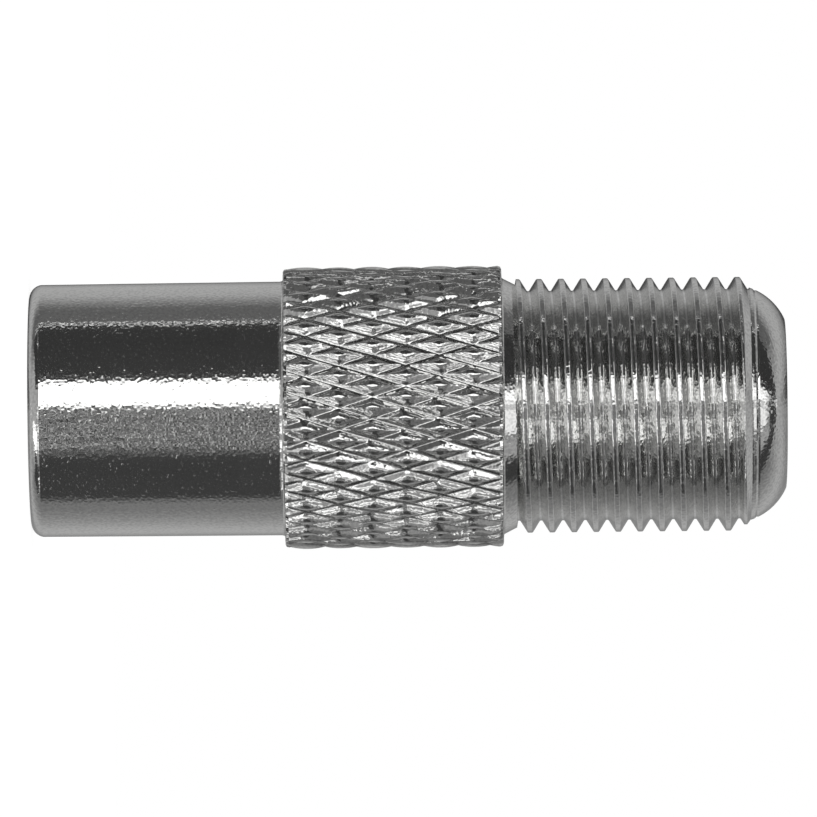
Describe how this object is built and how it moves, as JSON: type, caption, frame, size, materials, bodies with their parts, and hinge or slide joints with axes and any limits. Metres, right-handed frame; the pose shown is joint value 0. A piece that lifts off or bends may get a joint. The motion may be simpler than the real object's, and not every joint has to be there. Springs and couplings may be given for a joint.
{
  "type": "f connector",
  "caption": "Coaxial adapter with a threaded F jack at one end, a diamond-knurled grip, and a push-in aerial plug with a centre pin at the other end.",
  "frame": {"origin": "centre of the plug barrel's rim, which the part stands on", "axes": "+Z along the connector's axis, from the plug's rim to the threaded jack's nose"},
  "size_m": [0.0104, 0.0104, 0.0281],
  "materials": {
    "body_plate": "satin nickel plate on brass",
    "pin_plate": "smooth nickel plate on brass",
    "contact_metal": "bare spring bronze",
    "insulator": "moulded white plastic"
  },
  "bodies": {
    "root": {"body": "body_plate", "pin_insulator": "insulator", "centre_pin": "pin_plate", "spring_contact": "contact_metal", "nose_insulator": "insulator"}
  },
  "joints": []
}
